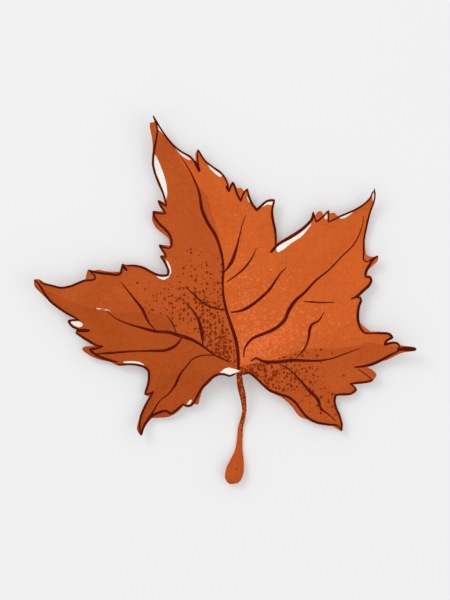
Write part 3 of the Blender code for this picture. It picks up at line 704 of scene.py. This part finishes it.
def ring_values(values, sides):
    """A line's values, for each point of its rings and for its two end points."""
    return np.append(np.repeat(values, sides), values[[0, -1]])


def stroke_width(count, widest):
    """Half width along a stroke: half the widest at its ends, and the rest as the root of the sine of
    the way along it."""
    return widest / 4 * (1 + np.sqrt(np.sin(np.linspace(0, np.pi, count))))


def spread_widths(widths, count):
    """Half widths for that many points from widths at even distances."""
    return np.interp(np.linspace(0, 1, count), np.linspace(0, 1, len(widths)), widths) / 2


def tubes_mesh(lines, half_widths, heights):
    """One mesh of closed tubes. heights takes the plan points, their height shares and half widths."""
    points, faces, total = [], [], 0
    for line, half_width in zip(lines, half_widths):
        plan, share = swept_rings(line, half_width, RING_SIDES, LINE_END)
        wide = ring_values(half_width, RING_SIDES)
        points.append(np.column_stack([plan, heights(plan, share, wide)]))
        faces += tube_faces(len(line), RING_SIDES, total)
        total += len(plan)
    return np.vstack(points), faces


# Materials. Sizes, reaches and borders are in millimetres, and the other numbers are shares.

def maths(operation, swapped=False):
    """A method that adds a Math node for a value and another one, the other one first if swapped."""
    def method(self, other):
        return self.graph.math(operation, *((other, self) if swapped else (self, other)))

    return method


class Value:
    """A number socket of a material, for writing its maths as Python expressions."""

    __add__ = maths("ADD")
    __radd__ = maths("ADD", swapped=True)
    __sub__ = maths("SUBTRACT")
    __rsub__ = maths("SUBTRACT", swapped=True)
    __mul__ = maths("MULTIPLY")
    __rmul__ = maths("MULTIPLY", swapped=True)
    __lt__ = maths("LESS_THAN")

    def __init__(self, graph, socket):
        self.graph = graph
        self.socket = socket

    def smooth(self, low, high):
        """0 below low, 1 above high and an S-shaped step between them."""
        node = self.graph.node("ShaderNodeMapRange", {"interpolation_type": "SMOOTHSTEP"},
                               {"Value": self, "From Min": low, "From Max": high})
        return Value(self.graph, node.outputs["Result"])


class Graph:
    """A new material's nodes."""

    def __init__(self, name, shader_values):
        self.material = bpy.data.materials.new(name)
        self.material.use_nodes = True
        self.tree = self.material.node_tree
        self.shader = self.tree.nodes["Principled BSDF"]
        self.feed(self.shader, shader_values)
        where = self.node("ShaderNodeTexCoord").outputs["Object"]
        self.place = self.stretched(where, (1 / MM, 1 / MM, 1 / MM))

    def node(self, kind, settings=None, sockets=None):
        """A node of that type, with its settings and then its sockets' values or links."""
        node = self.tree.nodes.new(kind)
        for name, setting in (settings or {}).items():
            setattr(node, name, setting)
        self.feed(node, sockets or {})
        return node

    def feed(self, node, sockets):
        """Link sockets to a node's inputs, or set the inputs' values. A plain colour gets full alpha."""
        for key, value in sockets.items():
            target = node.inputs[key]
            source = value.socket if isinstance(value, Value) else value
            if isinstance(source, bpy.types.NodeSocket):
                self.tree.links.new(source, target)
            else:
                target.default_value = (*source, 1.0) if target.type == "RGBA" else source

    def math(self, operation, *values):
        """The result of a Math node."""
        node = self.node("ShaderNodeMath", {"operation": operation}, dict(enumerate(values)))
        return Value(self, node.outputs[0])

    def vector_math(self, operation, sockets):
        """The result of a Vector Math node."""
        return self.node("ShaderNodeVectorMath", {"operation": operation}, sockets).outputs[0]

    def attribute(self, name):
        """A number stored on the mesh's points."""
        node = self.node("ShaderNodeAttribute", {"attribute_name": name})
        return Value(self, node.outputs["Fac"])

    def stretched(self, place, scale):
        """A place whose parts are multiplied by a scale each."""
        return self.node("ShaderNodeMapping", None, {"Vector": place, "Scale": scale}).outputs[0]

    def noise(self, size, detail=2.0, place=None):
        """Soft noise from 0 to 1 with blots of about that size in millimetres."""
        node = self.node("ShaderNodeTexNoise", None,
                         {"Vector": place or self.place, "Scale": 1 / size, "Detail": detail})
        return Value(self, node.outputs["Fac"])

    def mix(self, first, second, share):
        """Two colours mixed by a share of the second."""
        node = self.node("ShaderNodeMix", {"data_type": "RGBA"}, {0: share, 6: first, 7: second})
        return node.outputs[2]

    def shaded(self, tint, value):
        """A colour brightened or darkened by a number near 1."""
        return self.vector_math("SCALE", {0: tint, "Scale": value})

    def wobbly_place(self, size, reach):
        """The place in millimetres, pushed about by noise, for ragged outlines."""
        noise = self.node("ShaderNodeTexNoise", None, {"Vector": self.place, "Scale": 1 / size})
        centred = self.vector_math("SUBTRACT", {0: noise.outputs["Color"], 1: (0.5, 0.5, 0.5)})
        push = self.vector_math("SCALE", {0: centred, "Scale": reach})
        return self.vector_math("ADD", {0: self.place, 1: push})

    def specks(self, place, size, least, most, density):
        """Freckles: one in each field of that size where the field's own number is below the density,
        with radii from least to most, as shares of the size. Where they are sparse they are smaller."""
        fields = self.node("ShaderNodeTexVoronoi", {"voronoi_dimensions": "2D"},
                           {"Vector": place, "Scale": 1 / size, "Randomness": 0.85})
        numbers = self.node("ShaderNodeSeparateColor", None, {0: fields.outputs["Color"]})
        chance, own = (Value(self, numbers.outputs[part]) for part in (0, 1))
        radius = (least + (most - least) * own) * (0.7 + 0.35 * density)
        gap = Value(self, fields.outputs["Distance"]) - radius
        return (chance < density) * (1 - gap.smooth(-0.08, 0.08))

    def net(self, size, width):
        """1 on the lines between the fields of a fine vein net, 0 away from them."""
        fields = self.node("ShaderNodeTexVoronoi",
                           {"voronoi_dimensions": "2D", "feature": "DISTANCE_TO_EDGE"},
                           {"Vector": self.wobbly_place(size, 0.6 * size), "Scale": 1 / size})
        return 1 - Value(self, fields.outputs["Distance"]).smooth(0, width / size)

    def finish(self, tint, roughness, height=None, depth=None):
        """Feed the shader: colour, roughness and the normal, from a height and its depth."""
        self.feed(self.shader, {"Base Color": tint, "Roughness": roughness})
        if height is not None:
            bump = self.node("ShaderNodeBump", None, {"Distance": depth * MM, "Height": height})
            self.feed(self.shader, {"Normal": bump.outputs[0]})
        return self.material


def blade_material(colours):
    """Three tones with hard borders, which are painted light and shade of the blade's folds, brown
    freckles and painted highlights by the stalk, a fine vein net and a dull surface.
    """
    graph = Graph("leaf_blade", {"Specular IOR Level": 0.05})
    uneven = graph.noise(2.5) - 0.5
    # Painted light and painted shade: the lit and shaded faces of the blade's folds, with ragged borders.
    lit = (graph.attribute("painted_lit_edge") + uneven * 0.5).smooth(-0.25, 0.25)
    shady = (graph.attribute("painted_shade_edge") + uneven * 0.5).smooth(-0.25, 0.25)
    # Painted highlights near the stalk: a brighter glow and pale specks, only on the painted light side.
    highlight_cloud = graph.attribute("highlight_density")
    tint = graph.mix(colours.middle, colours.dark, shady)
    tint = graph.mix(tint, colours.light, lit)
    tint = graph.mix(tint, colours.glow, highlight_cloud.smooth(0.25, 0.9) * lit)
    ragged = graph.wobbly_place(0.6, 0.25)
    pale = graph.specks(ragged, 1.1, 0.3, 0.55, highlight_cloud) * lit
    tint = graph.mix(tint, colours.speckled_highlight, pale * 0.6)
    freckles = graph.attribute("dark_specks")
    brown = graph.specks(ragged, 1.3, 0.27, 0.5, freckles)
    small = graph.specks(graph.wobbly_place(0.5, 0.2), 0.9, 0.26, 0.46, freckles * 0.8 - 0.05)
    brown = graph.math("MAXIMUM", brown, small) * (1 - lit) * (1 - shady)
    tint = graph.mix(tint, colours.dark_speck, brown)
    papery = (graph.attribute("bleached") + uneven * 0.2).smooth(-0.12, 0.12)
    tint = graph.mix(tint, colours.bleached, papery)
    beneath = graph.attribute("underside")
    tint = graph.mix(tint, colours.underside, beneath * 0.85 * (1 - papery))
    fine, finer = graph.net(1.3, 0.22), graph.net(0.55, 0.12)
    coarse = 1 - graph.attribute("net").smooth(0.05, 0.3)
    dryness = 1 - graph.attribute("margin").smooth(0.2, 2.2)
    grain = graph.noise(0.35, 4.0)
    shade = (1.0 + (graph.noise(14.0, 3.0) - 0.5) * 0.16 + (grain - 0.5) * 0.10
             - coarse * 0.05 - fine * 0.045 - finer * 0.02 - dryness * 0.10)
    roughness = 0.58 + (graph.noise(5.0, 3.0) - 0.5) * 0.25 + (grain - 0.5) * 0.12
    height = coarse * -0.8 - fine * 0.7 - finer * 0.3 + grain * 0.35
    return graph.finish(graph.shaded(tint, shade), roughness, height, 0.09)


def scaled(colour_setting, factor):
    """A colour setting made that much brighter."""
    return tuple(factor * share for share in colour_setting)


def vein_material(colours):
    """Dark, slightly glossy vein with fine lengthwise streaks."""
    graph = Graph("leaf_vein", {"Specular IOR Level": 0.03})
    streak = graph.noise(0.4, 4.0)
    tint = graph.mix(colours.vein, scaled(colours.vein, 1.7), graph.noise(3.0).smooth(0.45, 0.8))
    tint = graph.shaded(tint, 0.92 + (streak - 0.5) * 0.4)
    return graph.finish(tint, 0.45 + (streak - 0.5) * 0.3, streak, 0.05)


def rim_material(colours):
    """Dried brown-black rim, brittle and rough."""
    graph = Graph("leaf_rim", {"Specular IOR Level": 0.04})
    grain = graph.noise(0.45, 5.0)
    tint = graph.mix(colours.vein, scaled(colours.vein, 1.9), graph.noise(1.6, 3.0).smooth(0.5, 0.8))
    tint = graph.shaded(tint, 0.82 + (grain - 0.5) * 0.5)
    return graph.finish(tint, 0.68 + (grain - 0.5) * 0.3, grain, 0.08)


def rib_material(colours):
    """Ribs beneath the blade: straw brown, paler than the blade."""
    graph = Graph("leaf_rib", {"Specular IOR Level": 0.3})
    streak = graph.noise(0.5, 4.0)
    pale = scaled(colours.underside, 0.75)
    tint = graph.mix(pale, colours.stalk, graph.noise(6.0).smooth(0.35, 0.65))
    tint = graph.shaded(tint, 0.9 + (streak - 0.5) * 0.4)
    return graph.finish(tint, 0.5 + (streak - 0.5) * 0.25, streak, 0.05)


def stalk_material(colours):
    """Stalk with fibres along it, brown freckles on its slim part and a darker end."""
    graph = Graph("leaf_stalk", {"Specular IOR Level": 0.03})
    fibre = graph.noise(0.5, 4.0, graph.stretched(graph.place, (1.0, 0.12, 1.0)))
    slim = graph.attribute("slim")
    brown = graph.specks(graph.wobbly_place(0.5, 0.3), 0.95, 0.38, 0.62, slim)
    tint = graph.mix(colours.stalk, colours.dark_speck, brown)
    tint = graph.mix(tint, colours.dark_speck, graph.attribute("end") * 0.7)
    tint = graph.shaded(tint, 0.96 + (fibre - 0.5) * 0.35)
    return graph.finish(tint, 0.5 + (fibre - 0.5) * 0.3, fibre, 0.12)


def floor_material(stage):
    """Plain matt floor, like a table lit faintly from within, with the faintest grain."""
    graph = Graph("plain_floor", {"Specular IOR Level": 0.0, "Emission Color": (1.0, 1.0, 1.0),
                                  "Emission Strength": stage.floor_glow})
    tint = graph.shaded(stage.floor, 0.99 + graph.noise(60.0) * 0.02)
    return graph.finish(tint, 0.9)


# Operators

class MAPLE_OT_blade(bpy.types.Operator):
    """Grow the blade: one closed thin sheet with its fine shape and colour values"""

    bl_idname = "maple.blade"
    bl_label = "Grow the blade"

    def execute(self, context):
        sizes = context.scene.maple_sizes
        plan, triangles, count = blade_mesh(sizes.cell / MM)
        x, y = plan.T
        upper, lower = blade_heights(x, y, sizes)
        points = np.vstack([np.column_stack([plan, upper]), np.column_stack([plan, lower])])
        here = np.arange(count)
        after = (here + 1) % count
        total = len(plan)
        walls = np.stack([here, here + total, after + total, after], axis=1)
        faces = triangles.tolist() + (triangles[:, ::-1] + total).tolist() + walls.tolist()
        values = {
            # Where the painted light and the painted shade of the folds begin
            "painted_lit_edge": border_distance(x, y, PAINTED_LIT_BORDER, PAINTED_LIT_CORNER),
            "painted_shade_edge": border_distance(x, y, PAINTED_SHADE_BORDER, PAINTED_SHADE_CORNER),
            # Where the painted highlights near the stalk lie
            "highlight_density": cloud_density(x, y, PAINTED_HIGHLIGHTS),
            "dark_specks": cloud_density(x, y, DARK_CLOUDS),
            "bleached": patch_depth(x, y, BLEACHED),
            "margin": margin_distance(x, y),
            "net": net_distance(x, y),
        }
        values = {name: np.tile(value, 2) for name, value in values.items()}
        values["underside"] = np.repeat([0.0, 1.0], total)
        blade = grown_piece("leaf_blade", points, faces, blade_material, values)
        self.unwrap(blade.data, plan)
        return {"FINISHED"}

    def unwrap(self, mesh, plan):
        """Lay the upper side and the mirrored underside side by side on the texture."""
        low = plan.min(axis=0)
        span = 2 * (plan.max(axis=0) - low).max()
        upper = (plan - low) / span
        lower = (1, 0) - upper * (1, -1)
        layer = mesh.uv_layers.new(name="OFBake")
        corner = np.empty(len(mesh.loops), dtype=np.int32)
        mesh.loops.foreach_get("vertex_index", corner)
        layer.data.foreach_set("uv", np.vstack([upper, lower])[corner].astype(np.float32).ravel())


class MAPLE_OT_veins(bpy.types.Operator):
    """Lay the dark veins on the upper side"""

    bl_idname = "maple.veins"
    bl_label = "Lay the veins"

    def execute(self, context):
        sizes = context.scene.maple_sizes
        lines = [smooth_curve(line, VEIN_SPACING) for _, line in VEINS]
        half_widths = [spread_widths(widths, len(line)) for line, (widths, _) in zip(lines, VEINS)]

        def heights(plan, share, half_width):
            upper, _ = blade_heights(*plan.T, sizes)
            rise = np.minimum(sizes.vein_rise / MM, half_width)
            return upper + share * np.where(share > 0, rise, VEIN_SUNK * sizes.blade / MM)

        grown_piece("leaf_veins", *tubes_mesh(lines, half_widths, heights), vein_material)
        return {"FINISHED"}


class MAPLE_OT_rim(bpy.types.Operator):
    """Dry the rim: dark strokes along the margin, standing out on both sides"""

    bl_idname = "maple.rim"
    bl_label = "Dry the rim"

    def execute(self, context):
        sizes = context.scene.maple_sizes
        lines = [stroke_line(line) for _, line in RIM_STROKES]
        half_widths = [stroke_width(len(line), widest) for line, (widest, _) in zip(lines, RIM_STROKES)]

        def heights(plan, share, half_width):
            upper, lower = blade_heights(*plan.T, sizes)
            return (upper + lower) / 2 + share * ((upper - lower) / 2 + sizes.rim_rise / MM)

        grown_piece("leaf_rim", *tubes_mesh(lines, half_widths, heights), rim_material)
        return {"FINISHED"}


class MAPLE_OT_ribs(bpy.types.Operator):
    """Grow the ribs that stand out beneath the blade"""

    bl_idname = "maple.ribs"
    bl_label = "Grow the ribs"

    def execute(self, context):
        sizes = context.scene.maple_sizes
        ribs = [(line, RIB_RADII) for line in RIBS.values()]
        ribs += [(line, FINE_RIB_RADII) for _, line in VEINS]
        lines = [smooth_curve(line, RIB_SPACING) for line, _ in ribs]
        half_widths = [np.linspace(*radii, len(line)) for line, (_, radii) in zip(lines, ribs)]

        def heights(plan, share, half_width):
            _, lower = blade_heights(*plan.T, sizes)
            depth = np.minimum(sizes.rib_depth / MM, half_width)
            return lower + share * np.where(share > 0, RIB_SUNK * sizes.blade / MM, depth)

        grown_piece("leaf_ribs", *tubes_mesh(lines, half_widths, heights), rib_material)
        return {"FINISHED"}


class MAPLE_OT_stalk(bpy.types.Operator):
    """Grow the stalk and its swollen foot"""

    bl_idname = "maple.stalk"
    bl_label = "Grow the stalk"

    def execute(self, context):
        line = smooth_curve(STALK, STALK_SPACING)
        half_width = line[:, 2] / 2
        plan, share = swept_rings(line[:, :2], half_width, STALK_SIDES, STALK_END)
        middle = np.where(line[:, 1] < FOOT_MIDDLE, half_width.max(), half_width)
        wide, middle = (ring_values(values, STALK_SIDES) for values in (half_width, middle))
        x, y = plan.T
        ridges = np.sin(FIBRES * np.arcsin(share) + FIBRE_TWIST * y) * (wide < SLIM_HALF_WIDTH)
        flat = STALK_FLATTENING * (middle + wide * share * (1 + FIBRE_HEIGHT * ridges)) - STALK_SEAT
        z = np.maximum(flat, 0) + relief(x, y)
        values = {
            "slim": np.clip((y - SLIM_START) / SLIM_RUN, FEWEST_SPECKS, 1),
            "end": np.clip(FOOT_END - y, 0, 1),
        }
        faces = tube_faces(len(line), STALK_SIDES, 0)
        grown_piece("leaf_stalk", np.column_stack([x, y, z]), faces, stalk_material, values)
        return {"FINISHED"}


class MAPLE_OT_stage(bpy.types.Operator):
    """Set the pale floor, the soft lights and the camera over the leaf"""

    bl_idname = "maple.stage"
    bl_label = "Set the stage"

    def execute(self, context):
        stage = context.scene.maple_stage
        self.lay_floor(stage)
        self.hang_light("key_light", stage.key, KEY_PLACE, KEY_SIZE)
        self.hang_light("fill_light", stage.fill, FILL_PLACE, FILL_SIZE)
        self.light_sky(context.scene, stage)
        self.point_camera(context.scene, stage)
        context.scene.view_settings.view_transform = "Standard"
        return {"FINISHED"}

    def lay_floor(self, stage):
        """A wide flat floor under the leaf."""
        mesh = bpy.data.meshes.new("floor")
        corners = [(x * FLOOR_REACH, y * FLOOR_REACH, 0) for x, y in ((-1, -1), (1, -1), (1, 1), (-1, 1))]
        mesh.from_pydata(corners, [], [(0, 1, 2, 3)])
        mesh.materials.append(floor_material(stage))
        placed("floor", mesh)

    def hang_light(self, name, power, place, size):
        """A square soft light that faces the leaf."""
        light = bpy.data.lights.new(name, "AREA")
        light.energy = power
        light.size = size
        lamp = placed(name, light)
        lamp.location = place
        lamp.rotation_euler = Vector(place).to_track_quat("Z", "Y").to_euler()

    def light_sky(self, scene, stage):
        """Even white light from all round."""
        world = bpy.data.worlds.new("studio")
        world.use_nodes = True
        background = world.node_tree.nodes["Background"]
        background.inputs["Color"].default_value = (1.0, 1.0, 1.0, 1.0)
        background.inputs["Strength"].default_value = stage.sky
        scene.world = world

    def point_camera(self, scene, stage):
        """A camera straight above, as high as its lens needs for the view's height."""
        data = bpy.data.cameras.new("overhead")
        data.lens = stage.lens
        camera = placed("overhead", data)
        x, y = (joint_place()[:2] + VIEW_CENTRE) * MM
        camera.location = (x, y, VIEW_HEIGHT * MM * data.lens / data.sensor_width)
        scene.camera = camera


class MAPLE_PT_sidebar(bpy.types.Panel):
    """The leaf's settings and steps"""

    bl_idname = "MAPLE_PT_sidebar"
    bl_label = "Maple leaf"
    bl_space_type = "VIEW_3D"
    bl_region_type = "UI"
    bl_category = "Maple leaf"

    def draw(self, context):
        for name in SETTINGS:
            box = self.layout.box()
            settings = getattr(context.scene, name)
            for setting in settings.__annotations__:
                box.prop(settings, setting)
        for step in STEPS:
            self.layout.operator(step.bl_idname)


STEPS = (MAPLE_OT_blade, MAPLE_OT_veins, MAPLE_OT_rim, MAPLE_OT_ribs, MAPLE_OT_stalk, MAPLE_OT_stage)
SETTINGS = {
    "maple_sizes": MapleLeafSizes,
    "maple_colours": MapleLeafColours,
    "maple_stage": MapleLeafStage,
}
CLASSES = (*SETTINGS.values(), *STEPS, MAPLE_PT_sidebar)


def register():
    """Add the settings, the operators and the panel."""
    for kind in CLASSES:
        bpy.utils.register_class(kind)
    for name, kind in SETTINGS.items():
        setattr(bpy.types.Scene, name, PointerProperty(type=kind))


def unregister():
    """Take them away again."""
    for name in SETTINGS:
        delattr(bpy.types.Scene, name)
    for kind in reversed(CLASSES):
        bpy.utils.unregister_class(kind)


def main():
    """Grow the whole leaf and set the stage."""
    register()
    bpy.ops.maple.blade()
    bpy.ops.maple.veins()
    bpy.ops.maple.rim()
    bpy.ops.maple.ribs()
    bpy.ops.maple.stalk()
    bpy.ops.maple.stage()


if __name__ == "__main__":
    main()
